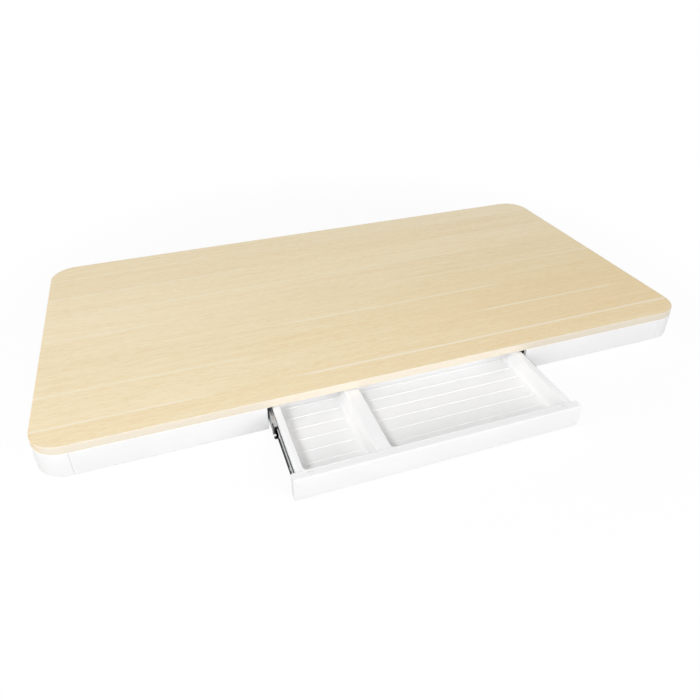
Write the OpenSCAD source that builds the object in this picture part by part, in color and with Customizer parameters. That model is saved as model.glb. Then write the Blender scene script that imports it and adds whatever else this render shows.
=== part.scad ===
// Desk top with a white apron and a shallow tray drawer that runs out through a gap in the front.
// Millimetres, +Z up, +Y to the back. The origin is the centre of the board's underside.

/* [Desk top] */
// Width of the board, left to right
top_w = 1200; // [1000:10:1600]
// Depth of the board, front to back
top_d = 600; // [560:10:800]
// Thickness of the board
top_t = 15; // [14:1:25]
// Radius of the board's corners in plan
corner_r = 50; // [35:1:70]
// Thickness of the band glued round the board's edge
band_t = 1; // [0.6:0.1:2]

/* [Frame inserts] */
// Distance between the left and the right row of threaded inserts
insert_span_x = 900; // [700:10:960]
// Distance between the two outer inserts of a row, front to back
insert_span_outer = 400; // [300:10:440]
// Distance between the two inner inserts of a row, front to back
insert_span_inner = 200; // [100:10:260]
// Bore of an insert
insert_bore_d = 6; // [5:0.5:8]
// Outside diameter of an insert
insert_d = 10; // [9:0.5:12]
// Length of an insert
insert_len = 11; // [8:0.5:13]

/* [Apron] */
// Height of the apron below the board
apron_h = 45; // [45:1:60]
// Thickness of the apron, outer face to inner face
apron_t = 15; // [14:0.5:20]
// Wall of the hollow profiles of the apron and the drawer front
profile_wall = 1.8; // [1.4:0.1:2.4]
// How far the apron stands proud of the board's edge
apron_proud = 0.8; // [0:0.1:2]
// Straight part of a corner moulding's legs
corner_leg = 6; // [4:1:20]
// Wall of the corner mouldings
corner_wall = 2.5; // [2:0.1:3]
// How far a spigot reaches into a hollow profile
spigot_len = 20; // [12:1:28]
// Play on each side of a spigot
spigot_play = 0.2; // [0.1:0.05:0.4]
// Thickness of the caps that close the apron at the drawer's gap
cap_t = 3; // [3:0.5:6]

/* [Brackets] */
// Width of an apron bracket
bracket_w = 30; // [24:1:36]
// Length of each leg of an apron bracket
bracket_leg = 22; // [18:1:26]
// Sheet thickness of the apron brackets
bracket_t = 2; // [1.5:0.1:3]
// Distance from an apron's end to the middle of its bracket
bracket_inset = 52; // [46:1:60]
// Sheet thickness of the slide hangers
hanger_t = 2; // [1.5:0.1:3]
// Width of a hanger's flange under the board
hanger_flange = 27; // [24:1:32]
// How far the hangers stand back from the sides of the opening
hanger_back = 3; // [2:0.5:6]

/* [Drawer front] */
// Width of the gap in the front apron
opening_w = 484; // [440:2:520]
// Gap between the drawer front and each side of the opening
front_side_gap = 0.8; // [0.6:0.1:2]
// Gap above the drawer front
front_top_gap = 2; // [1.5:0.5:3]
// How far the drawer front stops above the apron's lower edge
front_lift = 2; // [1:0.5:3]
// Depth of the drawer front, front to back
front_d = 15; // [15:0.5:20]
// Thickness of the drawer front's end caps
front_cap_t = 1.5; // [1:0.1:2.5]
// Distance from the drawer front's end to the middle of its plug
plug_inset = 28; // [26:0.5:40]
// Diameter of the holes that the plugs close
plug_d = 6.2; // [6:0.1:7]
// How far the drawer stands open
drawer_open = 160; // [0:1:190]

/* [Slides] */
// Space between the tray's side and the hanger, filled by a slide
slide_gap = 12; // [12:0.1:14]
// Height of the fixed rail
slide_h = 36; // [34:0.5:38]
// Sheet thickness of the rails
rail_t = 1.2; // [1:0.1:1.3]
// Distance from the apron's inner face to the front of the fixed rail
rail_setback = 4; // [3:0.5:8]
// Length of the middle rail
middle_rail_len = 219; // [205:1:240]
// How far the middle rail's front lies behind the fixed rail's when shut
middle_setback = 25; // [10:1:26]
// Depth of the fixed rail's flanges
fixed_rail_depth = 9.4; // [9:0.1:9.8]
// Depth of the middle rail's flanges
middle_rail_depth = 6.4; // [6.2:0.1:6.6]
// Depth of the drawer rail's flanges
drawer_rail_depth = 3.4; // [3.2:0.1:3.6]
// Diameter of the bearing balls
ball_d = 2.4; // [2:0.1:2.6]
// Play between a ball and each race
race_play = 0.25; // [0.2:0.05:0.4]
// Play between a ball and its pocket
pocket_play = 0.1; // [0.05:0.05:0.2]
// Thickness of the ball cages
cage_t = 0.8; // [0.6:0.1:0.9]
// Length of the ball cage between the fixed and the middle rail
outer_cage_len = 110; // [80:1:120]
// Length of the ball cage between the middle and the drawer rail
inner_cage_len = 70; // [50:1:74]
// Distance from ball to ball
ball_pitch = 14; // [8:1:20]
// Front of the outer cage behind the fixed rail's front when shut
outer_cage_setback = 60; // [55:1:70]
// Front of the inner cage behind the fixed rail's front when shut
inner_cage_setback = 73; // [70:1:76]
// Length of the black bumper on the middle rail's front
bumper_len = 12; // [9:0.5:14]
// Height of the black bumper
bumper_h = 22; // [18:0.5:26]
// Thickness of the black bumper outside the rail's web
bumper_t = 1; // [0.8:0.1:1.6]
// How far the rear bumper sits inside the fixed rail
rear_seat = 6; // [4:0.5:10]
// Gap left at the stops with the drawer shut
stop_play = 0.3; // [0.2:0.1:0.6]

/* [Tray] */
// Depth of the tray, front to back
tray_d = 196; // [186:1:200]
// How far the tray's rim lies below the board
rim_drop = 3; // [2.5:0.5:5]
// Height of the tray from its rim to its lower edge
tray_h = 37.5; // [36:0.5:38]
// Depth of the wells below the rim
well_depth = 33; // [25:0.5:33]
// Width of the rim along the sides and the back
rim_w = 11.5; // [10:0.5:16]
// Width of the rim along the front
front_rim_w = 2.5; // [2.5:0.5:6]
// Width of the left well at the rim
left_well_w = 112.5; // [80:0.5:160]
// Width of the divider's flat top
divider_w = 24.3; // [18:0.1:40]
// Wall of the moulded tray
tray_wall = 2.5; // [2:0.1:3]
// Lean of the wells' walls in degrees
wall_draft = 3; // [1:0.5:5]
// Radius between a well's walls and its floor
floor_r = 4; // [2:0.5:8]
// Radius of a well's corners in plan
well_corner_r = 6; // [4:0.5:10]
// Number of ribs on a well's floor
rib_count = 6; // [3:1:6]
// Distance from rib to rib
rib_pitch = 26.3; // [18:0.1:27]
// Distance from the tray's front to the first rib
rib_start = 43; // [30:0.5:44]
// Width of a rib
rib_w = 2; // [1:0.1:4]
// Height of a rib
rib_h = 1; // [0.5:0.1:2]

/* [Fasteners] */
// Shank diameter of the wood screws
wood_screw_d = 4; // [3:0.1:4.5]
// Head diameter of the wood screws
wood_screw_head_d = 8; // [6:0.1:9]
// Head height of the wood screws
wood_screw_head_h = 2.2; // [1.6:0.1:3]
// How far a wood screw bites into the board
wood_screw_bite = 10; // [6:0.5:12]
// Shank diameter of the rail and drawer screws
rail_screw_d = 3.5; // [2.5:0.1:3.8]
// Head diameter of the rail and drawer screws
rail_screw_head_d = 5.8; // [5:0.1:5.9]
// Head height of the rail and drawer screws
rail_screw_head_h = 1.6; // [1:0.1:1.6]
// How far a rail screw bites into the tray
rail_screw_bite = 8; // [5:0.5:9]
// Distance from a rail's end to its first screw
rail_screw_inset = 28; // [24:1:40]
// Play round a screw's shank
screw_play = 0.1; // [0.05:0.05:0.3]

/* [Hidden] */
$fn = 96;

// Overlap given to cutting shapes so that they break the surface
cut = 1;
half_w = top_w / 2;
half_d = top_d / 2;
core_w = top_w - 2 * band_t;
core_d = top_d - 2 * band_t;
core_r = corner_r - band_t;

// Apron
outer_r = corner_r + apron_proud;
corner_span = corner_r + corner_leg;
outer_x = half_w + apron_proud;
outer_y = half_d + apron_proud;
gap_half = opening_w / 2;
front_run = half_w - corner_span - gap_half - cap_t;
side_run = top_d - 2 * corner_span;
// Each straight apron: the start of its outer face, its turn about Z, and its length
front_left_run = [[-half_w + corner_span, -outer_y], 0, front_run];
front_right_run = [[gap_half + cap_t, -outer_y], 0, front_run];
right_run = [[outer_x, -half_d + corner_span], 90, side_run];
back_run = [[half_w - corner_span, outer_y], 180, top_w - 2 * corner_span];
left_run = [[-outer_x, half_d - corner_span], 270, side_run];
apron_runs = [front_left_run, front_right_run, right_run, back_run, left_run];
// Each corner moulding: its outer corner and its turn about Z
corner_places = [
  [[-outer_x, -outer_y], 0], [[outer_x, -outer_y], 90],
  [[outer_x, outer_y], 180], [[-outer_x, outer_y], 270]
];
// A run longer than this takes a third bracket
long_run = 700;
bracket_screw_at = bracket_t + (bracket_leg - bracket_t) / 2;
apron_screw_tip = 4;
apron_screw_len = bracket_t + profile_wall + apron_screw_tip;
wood_screw_r = wood_screw_d / 2;
// Middle of the corner moulding's curve, where its screw goes up into the board
corner_screw_at = outer_r - (outer_r - apron_t / 2) * cos(45);

// Drawer front
front_w = opening_w - 2 * front_side_gap;
front_h = apron_h - front_top_gap - front_lift;
front_top = -front_top_gap;
front_bottom = front_top - front_h;
front_face_y = -outer_y - drawer_open;
profile_w = front_w - 2 * front_cap_t;
plug_x = front_w / 2 - plug_inset;
plug_y = front_face_y + front_d / 2;
plug_play = 0.1;
plug_reach = 1;
plug_len = profile_wall + plug_reach;
web_z = (front_top + front_bottom) / 2;
// Tongues that reach from the tray into the hollow drawer front
tongue_w = 14;
tongue_t = 5;
tongue_drop = 7;
tongue_play = 0.2;
tongue_top = front_top - tongue_drop;
tongue_tip = 2;
tongue_len = front_d / 2 + rail_screw_d / 2 + tongue_tip;
front_screw_tip = 2;
front_screw_len = tongue_top - web_z + profile_wall / 2 + front_screw_tip;
front_spigot_len = 8;

// Slides: u runs from the hanger's face towards the drawer, v runs up from the slide's middle
slide_half = gap_half + hanger_back;
slide_z = web_z;
rail_front_y = -outer_y + apron_t + rail_setback;
fixed_rail_len = middle_setback + middle_rail_len + stop_play + rear_seat;
fixed_half = slide_h / 2;
ball_r = ball_d / 2;
outer_ball_v = fixed_half - rail_t - race_play - ball_r;
middle_half = outer_ball_v - ball_r - race_play;
inner_ball_v = middle_half - rail_t - race_play - ball_r;
drawer_half = inner_ball_v - ball_r - race_play;
lip_drop = 0.6;
lip_h = rail_t + lip_drop;
middle_side_play = 0.6;
middle_u = slide_gap - middle_side_play - middle_rail_depth;
drawer_u = slide_gap - drawer_rail_depth;
outer_cage_gap = 0.9;
inner_cage_gap = 0.7;
pocket_margin = 0.5;
cage_depth = cage_t + 2 * pocket_margin + ball_d + 2 * pocket_play;
cage_ball_u = cage_depth - pocket_margin - pocket_play - ball_r;
outer_cage_u = middle_u - outer_cage_gap - cage_t;
inner_cage_u = middle_u + rail_t + inner_cage_gap;
hanger_margin = 1.5;
hanger_drop = fixed_half - slide_z + hanger_margin;
tray_front_y = front_face_y + front_d;
tray_rear_y = tray_front_y + tray_d;
middle_shut_y = rail_front_y + middle_setback;
middle_front_y = middle_shut_y - drawer_open / 2;
outer_cage_y = rail_front_y + outer_cage_setback - drawer_open / 4;
inner_cage_y = rail_front_y + inner_cage_setback - drawer_open * 3 / 4;
stop_tab_y = middle_front_y + tray_rear_y + drawer_open - middle_shut_y + stop_play;
stop_tab_t = 2;
rail_screw_r = rail_screw_d / 2;
rear_bumper_y = middle_shut_y + middle_rail_len + stop_play;
rear_bumper_tail = 4;
bumper_wrap = 1.5;
bumper_rivet_d = 4;
// How far a fixed rail's screws come out behind the hanger
fixed_screw_tip = 1;

// Tray
tray_half_w = slide_half - slide_gap;
rim_z = -rim_drop;
well_y0 = tray_front_y + front_rim_w;
well_y1 = tray_rear_y - rim_w;
well_x0 = -tray_half_w + rim_w;
divider_x0 = well_x0 + left_well_w;
divider_x1 = divider_x0 + divider_w;
well_x1 = tray_half_w - rim_w;
wells = [[well_x0, divider_x0], [divider_x1, well_x1]];
boss_wall = 2;
boss_r = rail_screw_r + boss_wall;
fillet_steps = 6;

function bracket_places(len) =
  len > long_run ? [bracket_inset, len / 2, len - bracket_inset] : [bracket_inset, len - bracket_inset];

function screw_places(start, len) =
  [start + rail_screw_inset, start + len / 2, start + len - rail_screw_inset];

function ball_places(len) =
  let (n = floor((len - 2 * ball_d) / ball_pitch), first = (len - n * ball_pitch) / 2)
  [for (i = [0:n]) first + i * ball_pitch];

// Half-open channel profile: web at u0, flanges reaching to u0 + depth, lips of the given height
function channel(u0, depth, half, t, lip) = [
  [u0, -half], [u0 + depth, -half], [u0 + depth, -half + lip], [u0 + depth - t, -half + lip],
  [u0 + depth - t, -half + t], [u0 + t, -half + t], [u0 + t, half - t],
  [u0 + depth - t, half - t], [u0 + depth - t, half - lip], [u0 + depth, half - lip],
  [u0 + depth, half], [u0, half]
];

// Plain channel profile without lips
function plain_channel(u0, depth, half, t) = [
  [u0, -half], [u0 + depth, -half], [u0 + depth, -half + t], [u0 + t, -half + t],
  [u0 + t, half - t], [u0 + depth, half - t], [u0 + depth, half], [u0, half]
];

// The drawer rail's profile turned to open towards the hanger
function turned(profile) = [for (p = profile) [slide_gap + drawer_u - p.x, p.y]];

function arc(centre, r, from, to) =
  [for (i = [0:fillet_steps]) let (a = from + (to - from) * i / fillet_steps)
    centre + r * [cos(a), sin(a)]];

// Section of a well from a to b at the rim: leaning walls, rounded foot, open above the rim
function well_section(a, b, depth, r) =
  let (
    foot = depth * tan(wall_draft),
    back = r / tan(45 + wall_draft / 2),
    left = [a + foot + back, r - depth],
    right = [b - foot - back, r - depth]
  )
  concat(
    [[a, cut], [a, 0]], arc(left, r, 180 + wall_draft, 270),
    arc(right, r, 270, 360 - wall_draft), [[b, 0], [b, cut]]
  );

module rounded_plan(w, d, r) {
  square([w - 2 * r, d], center = true);
  square([w, d - 2 * r], center = true);
  for (x = [-1, 1], y = [-1, 1])
    translate([x * (w / 2 - r), y * (d / 2 - r)])
      circle(r);
}

// Extrude a section drawn in X and Z from y0 to y1
module along_y(y0, y1) {
  translate([0, y1, 0])
    rotate([90, 0, 0])
      linear_extrude(y1 - y0)
        children();
}

// Extrude a section drawn in Y and Z from x0 to x1
module along_x(x0, x1) {
  translate([x0, 0, 0])
    rotate([90, 0, 90])
      linear_extrude(x1 - x0)
        children();
}

// Screw with its head below zero, its shank up along Z and a cross recess in the head
module screw(d, head_d, head_h, len) {
  recess_w = d / 4;
  difference() {
    union() {
      cylinder(h = len, d = d);
      translate([0, 0, -head_h])
        cylinder(h = head_h, d = head_d);
    }
    for (turn = [0, 90])
      rotate(turn)
        translate([-head_d / 4, -recess_w / 2, -head_h - cut])
          cube([head_d / 2, recess_w, head_h / 2 + cut]);
  }
}

module wood_screw(len) {
  screw(wood_screw_d, wood_screw_head_d, wood_screw_head_h, len);
}

module rail_screw(len) {
  screw(rail_screw_d, rail_screw_head_d, rail_screw_head_h, len);
}

// Straight-sided hole round a shank that starts at zero and runs up along Z
module shank_hole(d, len) {
  translate([0, 0, -cut])
    cylinder(h = len + cut, d = d + 2 * screw_play);
}

module on_run(run) {
  translate([run[0].x, run[0].y, 0])
    rotate(run[1])
      children();
}

// Each place on the board where a screw comes up from below
module at_board_screws() {
  for (run = apron_runs)
    on_run(run)
      for (x = bracket_places(run[2]))
        translate([x, apron_t + bracket_screw_at, 0])
          children();
  for (place = corner_places)
    on_run(place)
      translate([corner_screw_at, corner_screw_at, 0])
        children();
  at_hanger_screws()
    children();
}

module at_hanger_screws() {
  for (side = [-1, 1], y = screw_places(rail_front_y, fixed_rail_len))
    translate([side * (slide_half + hanger_t + (hanger_flange - hanger_t) / 2), y, 0])
      children();
}

module at_inserts() {
  for (x = [-1, 1], y = [-1, 1], span = [insert_span_outer, insert_span_inner])
    translate([x * insert_span_x / 2, y * span / 2, 0])
      children();
}

module top_board() {
  color("burlywood")
    difference() {
      linear_extrude(top_t)
        rounded_plan(core_w, core_d, core_r);
      at_inserts()
        translate([0, 0, -cut])
          cylinder(h = insert_len + cut, d = insert_d);
      at_board_screws()
        shank_hole(wood_screw_d, wood_screw_bite + screw_play);
    }
}

module edge_band() {
  color("wheat")
    linear_extrude(top_t)
      difference() {
        rounded_plan(top_w, top_d, corner_r);
        rounded_plan(core_w, core_d, core_r);
      }
}

module frame_inserts() {
  color("goldenrod")
    at_inserts()
      difference() {
        cylinder(h = insert_len, d = insert_d);
        translate([0, 0, -cut])
          cylinder(h = insert_len, d = insert_bore_d);
      }
}

// Hollow straight apron along X, outer face at y = 0, drilled for its bracket screws
module apron_profile(run) {
  len = run[2];
  color("white")
    on_run(run)
      difference() {
        translate([0, 0, -apron_h])
          cube([len, apron_t, apron_h]);
        translate([-cut, profile_wall, profile_wall - apron_h])
          cube([len + 2 * cut, apron_t - 2 * profile_wall, apron_h - 2 * profile_wall]);
        for (x = bracket_places(len))
          translate([x, apron_t, -bracket_screw_at])
            rotate([90, 0, 0])
              shank_hole(wood_screw_d, profile_wall + cut);
      }
}

module apron_front_left() {
  apron_profile(front_left_run);
}

module apron_front_right() {
  apron_profile(front_right_run);
}

module apron_right() {
  apron_profile(right_run);
}

module apron_back() {
  apron_profile(back_run);
}

module apron_left() {
  apron_profile(left_run);
}

// Block that pushes into an apron's hollow, starting at x = 0
module apron_spigot() {
  inset = profile_wall + spigot_play;
  translate([0, inset, inset - apron_h])
    cube([spigot_len, apron_t - 2 * inset, apron_h - 2 * inset]);
}

// Plan of a corner moulding drawn in from its faces by inset and from its ends by end_inset
module corner_plan(inset, end_inset) {
  band = apron_t - 2 * inset;
  translate([outer_r, outer_r])
    intersection() {
      difference() {
        circle(outer_r - inset);
        circle(outer_r - inset - band);
      }
      translate([-outer_r, -outer_r])
        square(outer_r);
    }
  translate([outer_r, inset])
    square([corner_leg - end_inset, band]);
  translate([inset, outer_r])
    square([band, corner_leg - end_inset]);
}

module corner_moulding(place) {
  color("white")
    on_run(place) {
      difference() {
        translate([0, 0, -apron_h])
          linear_extrude(apron_h)
            corner_plan(0, 0);
        translate([0, 0, -apron_h - cut])
          linear_extrude(apron_h - corner_wall + cut)
            corner_plan(corner_wall, corner_wall);
        translate([corner_screw_at, corner_screw_at, -corner_wall])
          shank_hole(wood_screw_d, corner_wall + cut);
      }
      translate([outer_r + corner_leg, 0, 0])
        apron_spigot();
      translate([0, outer_r + corner_leg, 0])
        mirror([1, -1, 0])
          apron_spigot();
    }
}

module corner_front_left() {
  corner_moulding(corner_places[0]);
}

module corner_front_right() {
  corner_moulding(corner_places[1]);
}

module corner_back_right() {
  corner_moulding(corner_places[2]);
}

module corner_back_left() {
  corner_moulding(corner_places[3]);
}

// Cap that closes an apron's end at the drawer's gap, with its face on the plane x = gap_half
module opening_cap() {
  color("white")
    translate([gap_half, -outer_y, 0]) {
      translate([0, 0, -apron_h])
        cube([cap_t, apron_t, apron_h]);
      translate([cap_t, 0, 0])
        apron_spigot();
    }
}

module opening_cap_left() {
  mirror([1, 0, 0])
    opening_cap();
}

module opening_cap_right() {
  opening_cap();
}

module apron_bracket() {
  difference() {
    union() {
      translate([-bracket_w / 2, apron_t, -bracket_leg])
        cube([bracket_w, bracket_t, bracket_leg]);
      translate([-bracket_w / 2, apron_t, -bracket_t])
        cube([bracket_w, bracket_leg, bracket_t]);
    }
    translate([0, apron_t + bracket_screw_at, -bracket_t])
      shank_hole(wood_screw_d, bracket_t + cut);
    translate([0, apron_t + bracket_t, -bracket_screw_at])
      rotate([90, 0, 0])
        shank_hole(wood_screw_d, bracket_t + cut);
  }
}

module apron_brackets() {
  color("silver")
    for (run = apron_runs)
      on_run(run)
        for (x = bracket_places(run[2]))
          translate([x, 0, 0])
            apron_bracket();
}

module bracket_screws() {
  color("gainsboro")
    for (run = apron_runs)
      on_run(run)
        for (x = bracket_places(run[2])) {
          translate([x, apron_t + bracket_screw_at, -bracket_t])
            wood_screw(bracket_t + wood_screw_bite);
          translate([x, apron_t + bracket_t, -bracket_screw_at])
            rotate([90, 0, 0])
              wood_screw(apron_screw_len);
        }
}

module corner_screws() {
  color("gainsboro")
    for (place = corner_places)
      on_run(place)
        translate([corner_screw_at, corner_screw_at, -corner_wall])
          wood_screw(corner_wall + wood_screw_bite);
}

// Folded plate that hangs the fixed rail under the board, at the right of the gap
module hanger() {
  color("white")
    difference() {
      translate([slide_half, rail_front_y, 0]) {
        translate([0, 0, -hanger_drop])
          cube([hanger_t, fixed_rail_len, hanger_drop]);
        translate([0, 0, -hanger_t])
          cube([hanger_flange, fixed_rail_len, hanger_t]);
      }
      at_hanger_screws()
        translate([0, 0, -hanger_t])
          shank_hole(wood_screw_d, hanger_t + cut);
      at_fixed_rail_screws()
        shank_hole(rail_screw_d, rail_t + hanger_t + cut);
    }
}

// Screws of the right fixed rail: heads in the channel, shanks out through the hanger
module at_fixed_rail_screws() {
  for (y = screw_places(rail_front_y, fixed_rail_len))
    translate([slide_half - rail_t, y, slide_z])
      rotate([0, 90, 0])
        children();
}

module left_hanger() {
  mirror([1, 0, 0])
    hanger();
}

module right_hanger() {
  hanger();
}

module hanger_screws() {
  color("gainsboro")
    at_hanger_screws()
      translate([0, 0, -hanger_t])
        wood_screw(hanger_t + wood_screw_bite);
}

// Bar of the given profile, which is drawn in u and v, at the right of the gap
module rail_bar(profile, y0, len) {
  translate([slide_half, 0, slide_z])
    mirror([1, 0, 0])
      along_y(y0, y0 + len)
        polygon(profile);
}

module fixed_rail() {
  color("darkgray")
    difference() {
      rail_bar(channel(0, fixed_rail_depth, fixed_half, rail_t, lip_h), rail_front_y, fixed_rail_len);
      at_fixed_rail_screws()
        shank_hole(rail_screw_d, rail_t + cut);
    }
}

module left_fixed_rail() {
  mirror([1, 0, 0])
    fixed_rail();
}

module right_fixed_rail() {
  fixed_rail();
}

module fixed_rail_screws() {
  color("gainsboro")
    for (side = [0, 1])
      mirror([side, 0, 0])
        at_fixed_rail_screws()
          rail_screw(rail_t + hanger_t + fixed_screw_tip);
}

// Plug in the fixed rail's rear end, which stops the middle rail with the drawer shut
module rear_bumpers() {
  reach = fixed_half - rail_t - stop_play;
  tail_y = rail_front_y + fixed_rail_len + rear_bumper_tail;
  color("black")
    for (side = [0, 1])
      mirror([side, 0, 0])
        translate([slide_half - fixed_rail_depth + 2 * rail_t, rear_bumper_y, slide_z - reach])
          cube([fixed_rail_depth - 3 * rail_t, tail_y - rear_bumper_y, 2 * reach]);
}

// Middle rail with the tab that stops the drawer rail when shut
module middle_rail() {
  color("silver") {
    difference() {
      rail_bar(
        plain_channel(middle_u, middle_rail_depth, middle_half, rail_t), middle_front_y, middle_rail_len
      );
      bumper_rivet(bumper_rivet_d + 2 * screw_play);
    }
    translate([slide_half - drawer_u - rail_t, stop_tab_y, slide_z - drawer_half])
      cube([drawer_u - middle_u, stop_tab_t, 2 * drawer_half]);
  }
}

module left_middle_rail() {
  mirror([1, 0, 0])
    middle_rail();
}

module right_middle_rail() {
  middle_rail();
}

// Peg that holds the bumper in the middle rail's web
module bumper_rivet(d) {
  translate([slide_half - middle_u - rail_t, middle_front_y + bumper_len / 2, slide_z])
    rotate([0, 90, 0])
      cylinder(h = rail_t, d = d);
}

// Plastic buffer over the front end of the middle rail's web
module rail_bumper() {
  color("black") {
    translate([slide_half - middle_u, middle_front_y - bumper_wrap, slide_z - bumper_h / 2])
      cube([bumper_t, bumper_len + bumper_wrap, bumper_h]);
    translate([slide_half - middle_u - rail_t, middle_front_y - bumper_wrap, slide_z - bumper_h / 2])
      cube([rail_t, bumper_wrap, bumper_h]);
    bumper_rivet(bumper_rivet_d);
  }
}

module left_rail_bumper() {
  mirror([1, 0, 0])
    rail_bumper();
}

module right_rail_bumper() {
  rail_bumper();
}

// Strip that keeps two rows of balls apart, one row above and one below the slide's middle
module ball_cage(u0, y0, len, ball_v) {
  color("dimgray")
    difference() {
      rail_bar(plain_channel(u0, cage_depth, ball_v + cage_t / 2, cage_t), y0, len);
      at_balls(u0, y0, len, ball_v)
        translate([0, 0, -cage_t])
          cylinder(h = 2 * cage_t, d = ball_d + 2 * pocket_play);
    }
}

module at_balls(u0, y0, len, ball_v) {
  for (y = ball_places(len), side = [-1, 1])
    translate([slide_half - u0 - cage_ball_u, y0 + y, slide_z + side * ball_v])
      children();
}

module balls(u0, y0, len, ball_v) {
  color("lightgray")
    at_balls(u0, y0, len, ball_v)
      sphere(d = ball_d, $fn = 32);
}

module left_outer_cage() {
  mirror([1, 0, 0])
    right_outer_cage();
}

module right_outer_cage() {
  ball_cage(outer_cage_u, outer_cage_y, outer_cage_len, outer_ball_v);
}

module left_outer_balls() {
  mirror([1, 0, 0])
    right_outer_balls();
}

module right_outer_balls() {
  balls(outer_cage_u, outer_cage_y, outer_cage_len, outer_ball_v);
}

module left_inner_cage() {
  mirror([1, 0, 0])
    right_inner_cage();
}

module right_inner_cage() {
  ball_cage(inner_cage_u, inner_cage_y, inner_cage_len, inner_ball_v);
}

module left_inner_balls() {
  mirror([1, 0, 0])
    right_inner_balls();
}

module right_inner_balls() {
  balls(inner_cage_u, inner_cage_y, inner_cage_len, inner_ball_v);
}

// Space cut for a well, wider by grow on every side, so that a grown one is the well's shell
module well(x0, x1, grow) {
  a = [x0 - grow, well_y0 - grow];
  b = [x1 + grow, well_y1 + grow];
  depth = well_depth + grow;
  translate([0, 0, rim_z])
    intersection() {
      along_y(a.y - cut, b.y + cut)
        polygon(well_section(a.x, b.x, depth, floor_r + grow));
      along_x(a.x - cut, b.x + cut)
        polygon(well_section(a.y, b.y, depth, floor_r + grow));
      translate([(a.x + b.x) / 2, (a.y + b.y) / 2, -depth - cut])
        linear_extrude(depth + 2 * cut)
          rounded_plan(b.x - a.x, b.y - a.y, well_corner_r + grow);
    }
}

module ribs() {
  for (i = [0:rib_count - 1])
    translate([-tray_half_w, tray_front_y + rib_start + i * rib_pitch - rib_w / 2, rim_z - well_depth - cut])
      cube([2 * tray_half_w, rib_w, rib_h + cut]);
}

// Screws of the right drawer rail: heads in the channel, shanks in towards the tray
module at_drawer_rail_screws() {
  for (y = screw_places(tray_front_y, tray_d))
    translate([tray_half_w + rail_t, y, slide_z])
      rotate([0, -90, 0])
        children();
}

// Hollow under the rim, the divider and the floor, left open below
module tray_underside() {
  difference() {
    translate([-tray_half_w + tray_wall, tray_front_y + tray_wall, rim_z - tray_h - cut])
      cube([2 * (tray_half_w - tray_wall), tray_d - 2 * tray_wall, tray_h - tray_wall + cut]);
    for (x = wells)
      well(x[0], x[1], tray_wall);
    for (side = [0, 1])
      mirror([side, 0, 0])
        at_drawer_rail_screws()
          cylinder(h = rim_w + tray_wall, r = boss_r);
  }
}

module tray_tongues() {
  for (side = [-1, 1])
    translate([side * plug_x - tongue_w / 2, tray_front_y - tongue_len, tongue_top - tongue_t])
      cube([tongue_w, tongue_len + front_rim_w, tongue_t]);
}

module at_front_screws() {
  for (side = [-1, 1])
    translate([side * plug_x, plug_y, tongue_top])
      rotate([180, 0, 0])
        children();
}

module drawer_tray() {
  color("whitesmoke")
    difference() {
      union() {
        difference() {
          translate([-tray_half_w, tray_front_y, rim_z - tray_h])
            cube([2 * tray_half_w, tray_d, tray_h]);
          difference() {
            for (x = wells)
              well(x[0], x[1], 0);
            ribs();
          }
          tray_underside();
        }
        tray_tongues();
      }
      for (side = [0, 1])
        mirror([side, 0, 0])
          at_drawer_rail_screws()
            shank_hole(rail_screw_d, rail_t + rail_screw_bite + screw_play);
      at_front_screws()
        shank_hole(rail_screw_d, front_screw_len);
    }
}

// Hollow of the drawer front between two levels, as a block from x0 to x1 drawn in by play
module front_hollow(x0, x1, low, high, play) {
  inset = profile_wall + play;
  translate([x0, front_face_y + inset, low + play])
    cube([x1 - x0, front_d - 2 * inset, high - low - 2 * play]);
}

module front_hollows(x0, x1, play) {
  front_hollow(x0, x1, front_bottom + profile_wall, web_z - profile_wall / 2, play);
  front_hollow(x0, x1, web_z + profile_wall / 2, front_top - profile_wall, play);
}

module drawer_front() {
  color("white")
    difference() {
      translate([-profile_w / 2, front_face_y, front_bottom])
        cube([profile_w, front_d, front_h]);
      front_hollows(-profile_w / 2 - cut, profile_w / 2 + cut, 0);
      for (side = [-1, 1])
        translate([side * plug_x, plug_y, front_top - profile_wall - cut])
          cylinder(h = profile_wall + 2 * cut, d = plug_d);
      for (side = [-1, 1])
        translate([
          side * plug_x - tongue_w / 2 - tongue_play, tray_front_y - profile_wall - cut,
          tongue_top - tongue_t - tongue_play
        ])
          cube([tongue_w + 2 * tongue_play, profile_wall + 2 * cut, tongue_t + 2 * tongue_play]);
      at_front_screws()
        shank_hole(rail_screw_d, front_screw_len);
    }
}

module front_cap() {
  color("white") {
    translate([profile_w / 2, front_face_y, front_bottom])
      cube([front_cap_t, front_d, front_h]);
    front_hollows(profile_w / 2 - front_spigot_len, profile_w / 2, spigot_play);
  }
}

module front_cap_left() {
  mirror([1, 0, 0])
    front_cap();
}

module front_cap_right() {
  front_cap();
}

module front_plugs() {
  color("whitesmoke")
    for (side = [-1, 1])
      translate([side * plug_x, plug_y, front_top - plug_len])
        cylinder(h = plug_len, d = plug_d - 2 * plug_play);
}

module front_screws() {
  color("gainsboro")
    at_front_screws()
      rail_screw(front_screw_len);
}

module drawer_rail() {
  color("gray")
    difference() {
      rail_bar(
        turned(plain_channel(drawer_u, drawer_rail_depth, drawer_half, rail_t)), tray_front_y, tray_d
      );
      at_drawer_rail_screws()
        shank_hole(rail_screw_d, rail_t + cut);
    }
}

module left_drawer_rail() {
  mirror([1, 0, 0])
    drawer_rail();
}

module right_drawer_rail() {
  drawer_rail();
}

module drawer_rail_screws() {
  color("gainsboro")
    for (side = [0, 1])
      mirror([side, 0, 0])
        at_drawer_rail_screws()
          rail_screw(rail_t + rail_screw_bite);
}

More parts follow.
